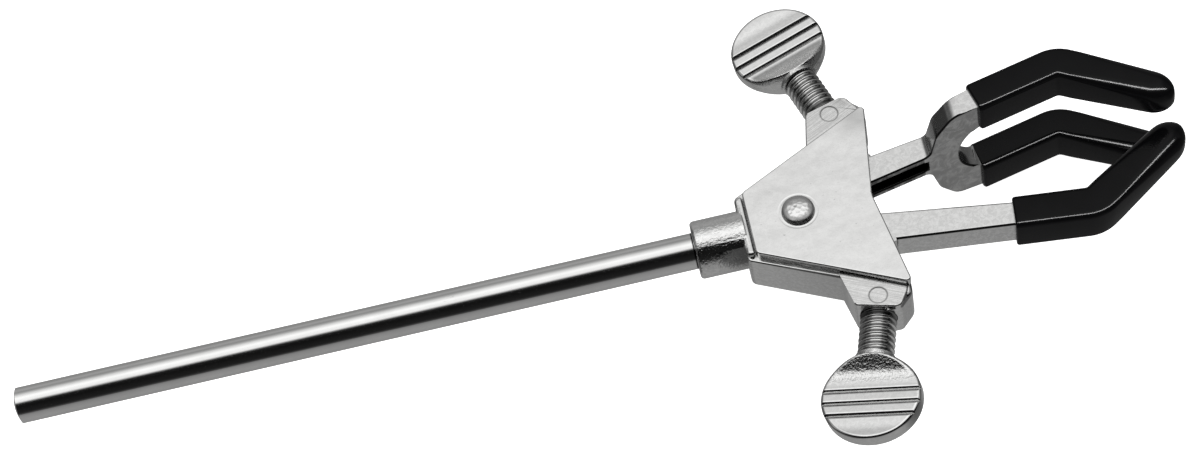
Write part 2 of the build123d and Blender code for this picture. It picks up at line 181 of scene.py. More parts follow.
def metal(name, bright=0.9, dull=0.8, rough=0.16, vary=0.06, mottle=170.0, grain=2600.0,
          relief=6e-6, streak=None, crevice_shade=9e-4, extra=None):
    """Plated metal: cloudy colour, fine grain in the relief, optional drawn-out streaks."""
    s = Shader(name)
    s.principled.inputs["Metallic"].default_value = 1.0
    cloud = s.noise(mottle, 4.0, 0.6, warp=0.6)
    height = s.noise(grain, 2.0, 0.6)
    colour = s.mix(s.remap(cloud, 0.35, 0.68), grey(dull), grey(bright))
    roughness = s.plus(s.times(cloud, vary), rough - vary / 2)
    if streak:
        scale, stretch, weight = streak
        lines = s.noise(scale, 3.0, 0.7, stretch=stretch)
        height = s.plus(height, s.times(lines, weight))
        roughness = s.plus(roughness, s.times(lines, vary))
    if extra:
        colour, roughness, height = extra(s, colour, roughness, height)
    # painted shade where surfaces meet
    if crevice_shade:
        colour = s.crevice_shade(colour, crevice_shade)
    return s.finish(colour, roughness, height, relief)


# ------------------------------------------------- places that the marks and the painted shade follow
ROD_SHADE_FROM = -0.45 * MM
ROD_SHADE_TO = -0.15 * MM
SOCKET_END_X = 10.6 * MM
LUG_SLOPE = math.atan(0.51)
LUG_FACE_Z = 4.5 * MM
LUG_START_Y = 14.0 * MM
LUG_END_ALONG = 15.07 * MM
MARK = (35.5 * MM, 23.9 * MM)
MARK_RADIUS = 1.95 * MM
MARK_CLEAR = 2.3 * MM
PIVOT = Vector(JOINTS["fork_jaw_swing"]["pos_m"])
PRESS_RING = (3.75 * MM, 4.05 * MM, 4.2 * MM, 4.5 * MM)
COVER_SHADE_PLACE = (41.8 * MM, 20.5 * MM)
COVER_SHADE_REACH = (1.5 * MM, 8.0 * MM)
RIVET_RIM = (2.0 * MM, 2.55 * MM)
CHANNEL = (44.7 * MM, 7.2 * MM)
CHANNEL_TILT = math.radians(12.2)
CHANNEL_HALF_DEPTH = 2.03 * MM
CHANNEL_HALF_WIDTH = 1.74 * MM
CHANNEL_END = 9.25 * MM
HORSESHOE_X = 54.0 * MM
GRIP_LEAN = math.radians(17.0)
GRIP_FLARE_START = 32.6 * MM
SCREW_PLACE = JOINTS["upper_thumbscrew_turn"]["pos_m"]
THREAD_SHADE = (3.66 * MM, 3.40 * MM)


# ------------------------------------------------------------------ materials
def rod_marks_and_shade(s, colour, roughness, height):
    """Painted shade: a dark ring on the rod where it goes into the socket; and a few handling marks."""
    x, _, _ = s.axes()
    marks = s.remap(s.noise(420.0, 5.0, 0.75, stretch=(0.25, 1.0, 1.0)), 0.66, 0.74)
    colour = s.mix(s.times(marks, 0.5), colour, grey(0.55))
    # painted shade: the rod turns dark from just before the socket mouth inwards
    colour = s.mix(s.remap(x, ROD_SHADE_FROM, ROD_SHADE_TO), colour, grey(0.03))
    return colour, s.plus(roughness, s.times(marks, 0.12)), height


def casting_marks_and_shade(s, colour, roughness, height):
    """Orange peel on the socket, belt-ground lines, and a painted shade line round the round mark on the flat lug
    faces.
    """
    x, y, z = s.axes()
    aside = s.math("ABSOLUTE", y)
    on_socket = s.remap(x, SOCKET_END_X + 1.6 * MM, SOCKET_END_X - 0.2 * MM)
    peel = s.noise(1800.0, 2.0, 0.6)
    height = s.plus(height, s.times(peel, on_socket, 13.0))
    along, across = s.turned(x, aside, LUG_SLOPE)
    drawn = s.add("ShaderNodeCombineXYZ")
    s.link(s.times(across, 3200.0), drawn.inputs[0])
    s.link(s.times(along, 90.0), drawn.inputs[1])
    lines = s.add("ShaderNodeTexNoise")
    s.link(drawn.outputs[0], lines.inputs["Vector"])
    lines.inputs["Scale"].default_value = 1.0
    lines.inputs["Detail"].default_value = 2.0
    on_lug = s.times(s.remap(z, LUG_FACE_Z - 0.1 * MM, LUG_FACE_Z),
                     s.remap(aside, LUG_START_Y, LUG_START_Y + 1.0 * MM))
    height = s.plus(height, s.times(lines.outputs["Fac"], on_lug, 2.6))
    scratch = s.times(s.remap(lines.outputs["Fac"], 0.40, 0.62), on_lug)
    colour = s.mix(s.times(scratch, 0.55), colour, grey(0.62))
    # painted shade: a dark line round the edge of the shallow round mark
    reach = s.length(s.minus(x, MARK[0]), s.minus(aside, MARK[1]))
    rim = s.times(s.remap(reach, MARK_RADIUS - 0.3 * MM, MARK_RADIUS - 0.05 * MM),
                  s.remap(reach, MARK_RADIUS + 0.3 * MM, MARK_RADIUS + 0.05 * MM))
    colour = s.mix(s.times(rim, on_lug, 0.7), colour, grey(0.2))
    return colour, s.plus(roughness, s.times(on_lug, 0.10)), height


def cover_marks_and_shade(s, colour, roughness, height):
    """Wide soft waves of a polished flat, a press ring round the rivet, small pits, and painted shade near the
    upper corner.
    """
    x, y, _ = s.axes()
    waves = s.noise(110.0, 2.0, 0.5)
    pits = s.remap(s.noise(900.0, 2.0, 0.5), 0.70, 0.78)
    height = s.plus(height, s.times(waves, 24.0))
    height = s.minus(height, s.times(pits, 1.5))
    reach = s.length(s.minus(x, PIVOT.x), y)
    inner, floor_from, floor_to, outer = PRESS_RING
    ring = s.times(s.remap(reach, inner, floor_from), s.remap(reach, outer, floor_to))
    height = s.minus(height, s.times(ring, 3.0))
    colour = s.mix(s.times(pits, 0.5), colour, grey(0.5))
    # painted shade: darker near the cover's upper corner, patchy with the waves
    corner = s.length(s.minus(x, COVER_SHADE_PLACE[0]), s.minus(y, COVER_SHADE_PLACE[1]))
    near, far = COVER_SHADE_REACH
    corner_shade = s.times(s.remap(corner, far, near), s.remap(waves, 0.3, 0.6, 0.5, 1.0))
    colour = s.mix(s.times(corner_shade, 0.6), colour, grey(0.5))
    return colour, roughness, height


def jaw_shade(s, colour, roughness, height):
    """Painted shade: a black channel in the fork's bar, darker front faces, a dark root where the bar meets the
    horseshoe and a dark line along the rounded edges.
    """
    x, y, z = s.axes()
    along, across = s.turned(s.minus(x, CHANNEL[0]), s.minus(y, CHANNEL[1]), CHANNEL_TILT)
    on_fork = s.math("GREATER_THAN", y, 0.0)
    inside = s.times(s.math("LESS_THAN", s.math("ABSOLUTE", across), CHANNEL_HALF_DEPTH),
                     s.math("LESS_THAN", s.math("ABSOLUTE", z), CHANNEL_HALF_WIDTH),
                     s.math("LESS_THAN", along, CHANNEL_END), on_fork)
    facing = s.add("ShaderNodeSeparateXYZ")
    s.link(s.add("ShaderNodeNewGeometry").outputs["Normal"], facing.inputs[0])
    towards_x, towards_y, towards_z = facing.outputs
    blotch = s.remap(s.noise(330.0, 4.0, 0.7, warp=0.8), 0.36, 0.60, 0.55, 1.0)
    # painted shade: the horseshoe's front faces are darker, in blotches
    plate_shade = s.times(s.remap(towards_y, -0.6, -0.9),
                    s.remap(x, HORSESHOE_X - 2.0 * MM, HORSESHOE_X + 1.0 * MM), on_fork)
    colour = s.mix(s.times(plate_shade, blotch), colour, grey(0.42))
    # painted shade: the bar's front faces go near black, in blotches
    flank_shade = s.times(s.remap(towards_y, -0.6, -0.85),
                    s.math("LESS_THAN", x, HORSESHOE_X - 1.0 * MM), on_fork)
    colour = s.mix(s.times(flank_shade, blotch), colour, grey(0.10))
    # painted shade where the bar turns into the horseshoe
    root = s.times(s.remap(towards_x, -0.62, -0.85), s.remap(x, HORSESHOE_X, HORSESHOE_X + 2.0 * MM))
    colour = s.mix(s.times(root, 0.75), colour, grey(0.10))
    # painted shade: a dark line along the rounded edges between top and front faces
    edge = s.times(s.remap(towards_z, 0.08, 0.2), s.remap(towards_z, 0.995, 0.96),
                   s.remap(towards_y, -0.10, -0.22))
    colour = s.mix(s.times(edge, 0.92), colour, grey(0.03))
    # painted shade: the channel in the fork's bar is coloured near black
    colour = s.mix(inside, colour, grey(0.035))
    return colour, s.plus(roughness, s.times(inside, 0.25)), height


def grip_marks(s, colour, roughness, height):
    """Coarse cast grain where the grip swells towards the stud."""
    x, y, _ = s.axes()
    across, along = s.turned(x, s.math("ABSOLUTE", y), GRIP_LEAN)
    near = s.remap(along, GRIP_FLARE_START, GRIP_FLARE_START - 1.6 * MM)
    grain = s.noise(1750.0, 2.0, 0.65)
    height = s.plus(height, s.times(grain, near, 14.0))
    return colour, s.plus(roughness, s.times(near, 0.05)), height


def rivet_marks(s, colour, roughness, height):
    """Bright struck crown inside a dull rim."""
    x, y, _ = s.axes()
    reach = s.length(s.minus(x, PIVOT.x), y)
    ragged = s.times(s.minus(s.noise(900.0, 3.0, 0.6), 0.5), 1.2 * MM)
    rim = s.remap(s.plus(reach, ragged), *RIVET_RIM)
    colour = s.mix(rim, colour, grey(0.54))
    return colour, s.plus(roughness, s.times(rim, 0.16)), height


def stud_shade(s, colour, roughness, height):
    """Painted shade in the thread grooves, and a painted shadow where the thread comes out from under its lug."""
    x, y, z = s.axes()
    aside = s.math("ABSOLUTE", y)
    along = s.turned(x, aside, GRIP_LEAN)[1]
    across = s.turned(s.minus(x, SCREW_PLACE[0]), s.minus(aside, SCREW_PLACE[1]), GRIP_LEAN)[0]
    # painted shade in the thread grooves
    groove_shade = s.remap(s.length(across, z), *THREAD_SHADE)
    colour = s.mix(s.times(groove_shade, 0.74), colour, grey(0.08))
    # painted shadow of the lug on the stud
    lug_shadow = s.remap(along, LUG_END_ALONG + 2.6 * MM, LUG_END_ALONG + 0.8 * MM)
    colour = s.mix(s.times(lug_shadow, 0.85), colour, grey(0.10))
    return colour, roughness, height


FINISHES = {
    "rod_steel": metal("rod_steel", 0.93, 0.87, rough=0.09, vary=0.04, mottle=60.0, grain=3000.0,
                       relief=2.0e-6, streak=(900.0, (0.02, 1.0, 1.0), 3.0),
                       extra=rod_marks_and_shade),
    "plated_casting": metal("plated_casting", 0.95, 0.83, rough=0.13, vary=0.06, mottle=1300.0,
                            grain=2300.0, relief=8.0e-6, extra=casting_marks_and_shade),
    "plated_cover": metal("plated_cover", 0.98, 0.93, rough=0.18, vary=0.06, mottle=800.0,
                          grain=1800.0, relief=9.0e-6, extra=cover_marks_and_shade, crevice_shade=0),
    "rivet_steel": metal("rivet_steel", 0.96, 0.86, rough=0.22, mottle=1500.0, grain=2600.0,
                         relief=9.0e-6, extra=rivet_marks),
    "spring_steel": metal("spring_steel", 0.62, 0.48, rough=0.22, mottle=800.0, relief=4e-6),
    "plated_jaw": metal("plated_jaw", 0.92, 0.76, rough=0.12, vary=0.06, mottle=1100.0,
                        grain=2300.0, relief=8.0e-6, extra=jaw_shade),
    "stud_steel": metal("stud_steel", 0.96, 0.86, rough=0.16, vary=0.1, mottle=900.0, grain=2400.0,
                        relief=4.0e-6, crevice_shade=0, extra=stud_shade),
    "plated_head": metal("plated_head", 0.93, 0.84, rough=0.11, vary=0.05, mottle=1100.0,
                         grain=2300.0, relief=8.0e-6, crevice_shade=8e-4, extra=grip_marks),
    "pad_brass": metal("pad_brass", 0.7, 0.55, rough=0.25, mottle=900.0, relief=6e-6),
}


def vinyl():
    """Dipped black vinyl: near-black, satin, with slow ripples and a fine skin."""
    s = Shader("black_vinyl")
    cloud = s.noise(240.0, 3.0, 0.55)
    ripple = s.noise(120.0, 1.0, 0.5)
    skin = s.noise(2600.0, 2.0, 0.5)
    colour = s.mix(cloud, (0.0022, 0.0022, 0.0025, 1.0), (0.0045, 0.0045, 0.005, 1.0))
    s.principled.inputs["Specular IOR Level"].default_value = 0.12
    return s.finish(colour, s.plus(s.times(cloud, 0.06), 0.13), s.plus(s.times(ripple, 12.0), skin), 6e-6)


FINISHES["black_vinyl"] = vinyl()

SLOT_OF = {part["node"]: part["material_slot"] for part in frame["record"]["subparts"]}
for node, part in NODES.items():
    part.data.materials.clear()
    part.data.materials.append(FINISHES[SLOT_OF[node]])


# --------------------------------------------------------------- mesh helpers
def new_piece(name, points, faces, node, body, smooth_angle=40.0):
    """A mesh piece from points in metres that stands for one CAD node."""
    mesh = bpy.data.meshes.new(name)
    mesh.from_pydata([tuple(p) for p in points], [], faces)
    mesh.validate()
    mesh.update()
    return place_piece(name, mesh, node, body, smooth_angle)


def place_piece(name, mesh, node, body, smooth_angle):
    """Puts a mesh on its moving body in place of the CAD node it stands for."""
    mesh.shade_smooth()
    mesh.set_sharp_from_angle(angle=math.radians(smooth_angle))
    piece = bpy.data.objects.new(name, mesh)
    bpy.context.scene.collection.objects.link(piece)
    mesh.materials.append(FINISHES[SLOT_OF[node]])
    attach(piece, body)
    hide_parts(node)
    return piece


def ring_faces(rings, sides):
    """Quads between neighbouring closed rings of equal size."""
    faces = []
    for i in range(rings - 1):
        for j in range(sides):
            k = (j + 1) % sides
            faces.append((i * sides + j, i * sides + k, (i + 1) * sides + k, (i + 1) * sides + j))
    return faces


def closed_rings(rings):
    """Points and faces of a solid drawn as rings, closed by a point at each end."""
    sides = len(rings[0])
    points = [p for ring in rings for p in ring]
    faces = ring_faces(len(rings), sides)
    first = len(points)
    points.append(np.mean(rings[0], axis=0))
    points.append(np.mean(rings[-1], axis=0))
    last_ring = (len(rings) - 1) * sides
    for j in range(sides):
        k = (j + 1) % sides
        faces.append((first, k, j))
        faces.append((first + 1, last_ring + j, last_ring + k))
    return points, faces


class Axis:
    """A thumbscrew's frame: w outward along the screw, u across it, v the face normal."""

    def __init__(self, which):
        joint = JOINTS[which + "_thumbscrew_turn"]
        self.origin = np.array(joint["pos_m"], float)
        self.w = np.array(joint["axis"], float)
        self.w /= np.linalg.norm(self.w)
        self.u = np.cross(self.w, (0.0, 0.0, 1.0)) * (1.0 if self.w[1] > 0 else -1.0)
        self.v = np.cross(self.w, self.u)

    def point(self, u, v, w):
        return self.origin + u * self.u + v * self.v + w * self.w

    def circle(self, radius, w, sides):
        return [self.point(radius * math.cos(a), radius * math.sin(a), w)
                for a in np.linspace(0, 2 * math.pi, sides, endpoint=False)]

    def reach(self, node):
        """Lowest and highest place of a CAD node along the screw."""
        co = np.array([p.co for p in NODES[node].data.vertices], float) - self.origin
        along = co @ self.w
        return along.min(), along.max()

    def radius(self, node):
        co = np.array([p.co for p in NODES[node].data.vertices], float) - self.origin
        return np.hypot(co @ self.u, co @ self.v).max()


# ------------------------------------------------------------- rounded edges
EDGE_STEPS = 4
SHARP_ANGLE = math.radians(38.0)
FLAT_ANGLE = math.radians(0.8)
WELD = 1e-6


def rounded_copy(name, node, body, radius, chosen, kept=lambda place: False):
    """The CAD shape with its chosen outer edges worn round, but none that leads to a kept place."""
    shape = bmesh.new()
    shape.from_mesh(NODES[node].data)
    bmesh.ops.remove_doubles(shape, verts=shape.verts, dist=WELD)
    bmesh.ops.dissolve_limit(shape, angle_limit=FLAT_ANGLE, verts=shape.verts, edges=shape.edges)
    edges = [edge for edge in shape.edges
             if len(edge.link_faces) == 2 and edge.is_convex
             and edge.calc_face_angle(0.0) > SHARP_ANGLE
             and all(chosen(corner.co) for corner in edge.verts)
             and not any(kept(spoke.other_vert(corner).co)
                         for corner in edge.verts for spoke in corner.link_edges)]
    bmesh.ops.bevel(shape, geom=edges, offset=radius, offset_type="OFFSET", segments=EDGE_STEPS,
                    profile=0.5, affect="EDGES", clamp_overlap=False)
    mesh = bpy.data.meshes.new(name)
    shape.to_mesh(mesh)
    shape.free()
    mesh.materials.clear()
    piece = place_piece(name, mesh, node, body, 40.0)
    weighted = piece.modifiers.new("even_flats", "WEIGHTED_NORMAL")
    weighted.keep_sharp = True
    weighted.weight = 100
    return piece


# --------------------------------------------------------------- thread studs
PITCH = 1.411 * MM
THREAD_DEPTH = 0.70 * MM
BORE_RADIUS = 1.27 * MM
BORE_DEPTH = 2.5 * MM
THREAD_CREST = 0.16
THREAD_ROOT = 0.88
END_CHAMFER = 0.25 * MM
END_CHAMFER_RISE = 0.9
THREAD_SIDES = 72
THREAD_STEPS = 14


def thread_radius(phase, outer):
    """Radius of a worn 60-degree thread at a share of its pitch, crest at 0."""
    away = abs((phase + 0.5) % 1.0 - 0.5) * 2.0
    share = min(1.0, max(0.0, (away - THREAD_CREST) / (THREAD_ROOT - THREAD_CREST)))
    share = share * share * (3 - 2 * share) * 0.35 + share * 0.65
    return outer - THREAD_DEPTH * share


def threaded_stud(which):
    """Right-hand thread with chamfered ends and the blind bore that holds the pad."""
    axis = Axis(which)
    node = which + "_screw_stud"
    start, end = axis.reach(node)
    outer = axis.radius(node)
    root = outer - THREAD_DEPTH
    count = int(round((end - start) / PITCH * THREAD_STEPS))
    angles = np.linspace(0, 2 * math.pi, THREAD_SIDES, endpoint=False)
    rings = [axis.circle(BORE_RADIUS, start + BORE_DEPTH, THREAD_SIDES),
             axis.circle(BORE_RADIUS, start, THREAD_SIDES)]
    for i in range(count + 1):
        w = start + (end - start) * i / count
        limit = root - END_CHAMFER + (w - start) * END_CHAMFER_RISE
        ring = []
        for a in angles:
            r = thread_radius((w - start) / PITCH - a / (2 * math.pi), outer)
            r = min(r, limit)
            ring.append(axis.point(r * math.cos(a), r * math.sin(a), w))
        rings.append(ring)
    points, faces = closed_rings(rings)
    return new_piece(which + "_threaded_stud", points, faces, node, which + "_thumbscrew", 75.0)


# ---------------------------------------------------------------- thumb grips
GRIP_HALF_WIDTH = 10.75 * MM
GRIP_HALF_LENGTH = 10.0 * MM
GRIP_HALF_FLAT = 1.97 * MM
GRIP_RIM_HALF = 1.25 * MM
GRIP_RIM_ROUND = 0.75 * MM
GRIP_BEND = -3.9 * MM
GRIP_BEND_SOFT = 2.4 * MM
GRIP_SWELL_EDGE = 1.3 * MM
GROOVE_LIP = 0.05 * MM
GRIP_FLARE = 0.62
GRIP_ROOT_HALF = 4.3 * MM
GROOVE_PITCH = 2.87 * MM
GROOVE_DEPTH = 0.56 * MM
GROOVE_HALF = 0.50 * MM
COLLAR_RADIUS = 4.35 * MM
GROOVE_ROWS = (-1.4, -1.2, -1.0, -0.98, -0.5, -0.04, 0.04, 0.5, 0.98, 1.0, 1.2, 1.4)
GROOVE_SHIFT = {"upper": 0.0, "lower": 1.6 * MM}
DISH_START = 0.8 * MM
DISH_PLACE = 2.2 * MM
DISH_REACH = 1.5 * MM
DISH_DEPTH = 0.10 * MM
GRIP_LINES = 121
CLOSEST_ROWS = 0.012 * MM
COLLAR_SIDES = 64
COLLAR = ((0.0, 0.6), (0.0, 0.93), (0.3 * MM, 1.0), (1.2 * MM, 1.0), (2.0 * MM, 0.8))
SPIN = {"upper": -5.0, "lower": 10.0}


def grip_half_thickness(u, w, levels):
    """Half the thickness of a thumb grip at a place on its face."""
    r = math.hypot(u / GRIP_HALF_WIDTH, w / GRIP_HALF_LENGTH)
    inside = (1 - r) * GRIP_HALF_LENGTH
    rim = max(0.0, min(1.0, inside / GRIP_RIM_ROUND))
    half = GRIP_RIM_HALF + (GRIP_HALF_FLAT - GRIP_RIM_HALF) * math.sqrt(1 - (1 - rim) ** 2)
    past = GRIP_BEND - w
    if past > 0:
        soft = min(past, GRIP_BEND_SOFT)
        rise = GRIP_FLARE * (soft * soft / (2 * GRIP_BEND_SOFT) + max(0.0, past - GRIP_BEND_SOFT))
        swell = math.sin(math.pi / 2 * max(0.0, min(1.0, inside / GRIP_SWELL_EDGE)))
        half = min(half + rise * swell, GRIP_ROOT_HALF)
    dished = w - levels[-1] - DISH_START
    if dished > 0:
        half -= DISH_DEPTH * math.exp(-((dished - DISH_PLACE) / DISH_REACH) ** 2) * rim
    for level in levels:
        gap = abs(w - level)
        if gap < GROOVE_HALF:
            half = min(half, GRIP_HALF_FLAT - GROOVE_LIP - GROOVE_DEPTH * (1 - gap / GROOVE_HALF))
        elif gap < 1.4 * GROOVE_HALF:
            half = min(half, GRIP_HALF_FLAT - GROOVE_LIP * (1.4 - gap / GROOVE_HALF) / 0.4)
    return half


def thumb_grip(which):
    """Cast oval grip with three V grooves on each face and a swelling towards the stud."""
    axis = Axis(which)
    node = which + "_screw_head"
    low, high = axis.reach(node)
    centre = high - GRIP_HALF_LENGTH
    spin = math.radians(SPIN[which])
    cos, sin = math.cos(spin), math.sin(spin)
    levels = [GROOVE_SHIFT[which] + k * GROOVE_PITCH for k in (-1, 0, 1)]
    columns = GRIP_LINES
    places = [GRIP_HALF_LENGTH * math.sin(math.pi / 2 * t) for t in np.linspace(-1, 1, GRIP_LINES)]
    places += [level + share * GROOVE_HALF for level in levels for share in GROOVE_ROWS]
    rows = []
    for w in sorted(places):
        if not rows or w - rows[-1] > CLOSEST_ROWS:
            rows.append(w)
    front, back = [], []
    for w in rows:
        wide = GRIP_HALF_WIDTH * math.sqrt(max(0.0, 1 - (w / GRIP_HALF_LENGTH) ** 2))
        for t in np.linspace(-1, 1, columns):
            u = wide * math.sin(math.pi / 2 * t)
            h = grip_half_thickness(u, w, levels)
            front.append(axis.point(u * cos - h * sin, u * sin + h * cos, centre + w))
            back.append(axis.point(u * cos + h * sin, u * sin - h * cos, centre + w))
    points = front + back
    offset = len(front)
    faces = []
    for i in range(len(rows) - 1):
        a, b = i * columns, (i + 1) * columns
        for j in range(columns - 1):
            faces.append((a + j, b + j, b + j + 1, a + j + 1))
            faces.append((offset + a + j, offset + a + j + 1, offset + b + j + 1, offset + b + j))
        faces.append((a, offset + a, offset + b, b))
        last = columns - 1
        faces.append((a + last, b + last, offset + b + last, offset + a + last))
    # the collar between grip and stud, a plain ring of the same casting
    collar = [axis.circle(COLLAR_RADIUS * share, low + up, COLLAR_SIDES) for up, share in COLLAR]
    more_points, more_faces = closed_rings(collar)
    base = len(points)
    points = points + more_points
    faces += [tuple(base + k for k in face) for face in more_faces]
    return new_piece(which + "_thumb_grip", points, faces, node, which + "_thumbscrew", 38.0)


# -------------------------------------------------------------------- sleeves
def rounded_section(half_y, half_z, corner, steps=9):
    """Points of a rounded rectangle in the section plane, going round once."""
    points = []
    for quarter, (sy, sz) in enumerate(((1, 1), (-1, 1), (-1, -1), (1, -1))):
        for i in range(steps):
            a = math.pi / 2 * (quarter + i / (steps - 1))
            points.append((sy * (half_y - corner) + corner * math.cos(a),
                           sz * (half_z - corner) + corner * math.sin(a)))
    return points


SLEEVE_CORNER = 0.34
TIP_CORNER = 0.80
ROUND_CORNER = 0.98
TIP_SIZE = 0.14
TIP_THINNING = 0.8
SLEEVE_DOME = 1.30
SLEEVE_BEND_ROUND = 5.0 * MM
SLEEVE_HALF_THICK = 4.5 * MM
SLEEVE_LIP = ((0.0, 0.80), (0.0, 0.93), (0.25 * MM, 0.985), (0.6 * MM, 1.0))
BEND_STEPS = 14
TIP_STEPS = 9
DOME_STEPS = 12
DOME_GAP = 0.001 * MM
FORK_PATH = ((65.4, 12.4), (84.8, 16.9), (107.1, 3.48))
SINGLE_PATH = ((68.2, -10.75), (85.6, -12.8), (108.35, 2.57))
FORK_SLEEVE_HALF = 3.7 * MM
SINGLE_SLEEVE_HALF = 3.95 * MM
FORK_SLEEVE_Z = 11.7 * MM


def sleeve_path(start, bend, tip, dome):
    """Places and directions down a sleeve's middle, as far as its dome, and the dome's start."""
    first = (bend - start) / np.linalg.norm(bend - start)
    second = (tip - bend) / np.linalg.norm(tip - bend)
    angle = math.acos(float(first @ second))
    side = 1 if np.cross(first, second) > 0 else -1
    cut = SLEEVE_BEND_ROUND * math.tan(angle / 2)
    path = []
    for t in np.linspace(0, 1, BEND_STEPS):
        path.append((start + (bend - first * cut - start) * t, first))
    inward = np.array((-first[1], first[0])) * side
    centre = bend - first * cut + inward * SLEEVE_BEND_ROUND
    arm = -inward * SLEEVE_BEND_ROUND
    for t in np.linspace(0, 1, BEND_STEPS)[1:]:
        c, s = math.cos(angle * t * side), math.sin(angle * t * side)
        turned = [np.array((v[0] * c - v[1] * s, v[0] * s + v[1] * c)) for v in (arm, first)]
        path.append((centre + turned[0], turned[1]))
    flat_end = tip - second * dome
    for t in np.linspace(0, 1, TIP_STEPS + 1)[1:]:
        path.append((bend + second * cut + (flat_end - bend - second * cut) * t, second))
    return path, flat_end


def vinyl_sleeve(name, node, body, path_mm, half_y, z):
    """Dipped sleeve: rolled cut end, smooth bend, edges that soften into a domed tip."""
    start, bend, tip = (np.array(p, float) * MM for p in path_mm)
    dome = half_y * SLEEVE_DOME
    path, flat_end = sleeve_path(start, bend, tip, dome)
    sizes = [1.0] * len(path)
    corners = [SLEEVE_CORNER] * (len(path) - TIP_STEPS)
    corners += list(np.linspace(SLEEVE_CORNER, TIP_CORNER, TIP_STEPS))
    direction = path[-1][1]
    for t in np.linspace(0, 1, DOME_STEPS + 1)[1:-1]:
        path.append((flat_end + direction * dome * math.sin(math.pi / 2 * t), direction))
        sizes.append(math.cos(math.pi / 2 * t))
        corners.append(TIP_CORNER + (ROUND_CORNER - TIP_CORNER) * t)
    path.append((tip - direction * DOME_GAP, direction))
    sizes.append(TIP_SIZE)
    corners.append(ROUND_CORNER)

    def ring(place, along, corner, size, thick):
        """A section of the sleeve, scaled across and through its thickness."""
        return [(place[0] - along[1] * y * size, place[1] + along[0] * y * size, z + w * thick)
                for y, w in rounded_section(half_y, SLEEVE_HALF_THICK, half_y * corner)]

    first = path[0][1]
    rings = [ring(start + first * drop, first, SLEEVE_CORNER, size, size) for drop, size in SLEEVE_LIP]
    for (place, along), size, corner in list(zip(path, sizes, corners))[2:]:
        thick = 1 - (1 - size) * half_y * TIP_THINNING / SLEEVE_HALF_THICK
        rings.append(ring(place, along, corner, size, thick))
    points, faces = closed_rings(rings)
    return new_piece(name, points, faces, node, body, 60.0)


# ---------------------------------------------------------------------- rivet
RIVET_SHANK = 2.5 * MM
RIVET_SEAT = 6.4 * MM
RIVET_SIDES = 96
RIVET_DOME_STEPS = 44
RIVET_TAIL_STEPS = 12
DENTS = 22
DENT_SPREAD = 0.72
GOLDEN_TURN = 2.39996


def dome_share(t):
    """Height of the struck dome at a share of its radius: a soft crown and a steep rim."""
    return 1 - 0.42 * t ** 2 - 0.10 * t ** 6 - 0.48 * t ** 30


def hammered_rivet():
    """Rivet with a hand-hammered dome in front and a low clinched head behind."""
    node = "pivot_rivet"
    low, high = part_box(node)
    head = (high.x - low.x) / 2
    dome_height = high.z - RIVET_SEAT
    tail_height = -RIVET_SEAT - low.z
    rng = np.random.default_rng(7)
    dents = []
    for i in range(DENTS):
        spread = head * DENT_SPREAD * math.sqrt((i + 0.5) / DENTS)
        turn = GOLDEN_TURN * i + rng.uniform(-0.3, 0.3)
        dents.append((spread * math.cos(turn), spread * math.sin(turn), rng.uniform(0.5, 0.85) * MM,
                      rng.uniform(0.03, 0.09) * MM))
    rings = []

    def ring(radius, z, dented=False):
        points = []
        for j in range(RIVET_SIDES):
            a = 2 * math.pi * j / RIVET_SIDES
            x, y = radius * math.cos(a), radius * math.sin(a)
            drop = 0.0
            if dented:
                for dx, dy, size, depth in dents:
                    gap = math.hypot(x - dx, y - dy) / size
                    if gap < 1:
                        drop = max(drop, depth * (1 - gap * gap) ** 1.5)
            points.append((PIVOT.x + x, y, z - drop))
        rings.append(points)

    for t in np.linspace(0.04, 1, RIVET_TAIL_STEPS):
        ring(head * t, -RIVET_SEAT - tail_height * math.sqrt(1 - 0.98 * t * t))
    ring(head, -RIVET_SEAT)
    ring(RIVET_SHANK, -RIVET_SEAT)
    ring(RIVET_SHANK, RIVET_SEAT)
    ring(head, RIVET_SEAT)
    for t in np.linspace(1, 0.02, RIVET_DOME_STEPS):
        ring(head * t, RIVET_SEAT + dome_height * dome_share(t), dented=True)
    points, faces = closed_rings(rings)
    return new_piece("hammered_rivet", points, faces, node, "clamp_body", 50.0)


# ----------------------------------------------------------------- the pieces
CASTING_TOP = 4.2 * MM
CASTING_WEAR = 0.38 * MM
FORK_BARE = (38.0 * MM, 65.0 * MM)
FORK_WEAR = 0.45 * MM


def near_mark(place):
    """True at the two round marks on the lugs."""
    return math.hypot(place.x - MARK[0], abs(place.y) - MARK[1]) < MARK_CLEAR


rounded_copy("worn_body_casting", "body_casting", "clamp_body", CASTING_WEAR,
             lambda p: p.z > CASTING_TOP and not near_mark(p), near_mark)
rounded_copy("worn_fork_jaw", "fork_jaw", "fork_jaw", FORK_WEAR,
             lambda p: FORK_BARE[0] < p.x < FORK_BARE[1])
for which in ("upper", "lower"):
    threaded_stud(which)
    thumb_grip(which)
hammered_rivet()
SLEEVES = [vinyl_sleeve(which + "_vinyl_sleeve", which + "_finger_sleeve", *shape) for which, *shape in (
    ("front", "fork_jaw", FORK_PATH, FORK_SLEEVE_HALF, FORK_SLEEVE_Z),
    ("rear", "fork_jaw", FORK_PATH, FORK_SLEEVE_HALF, -FORK_SLEEVE_Z),
    ("single", "single_jaw", SINGLE_PATH, SINGLE_SLEEVE_HALF, 0.0),
)]


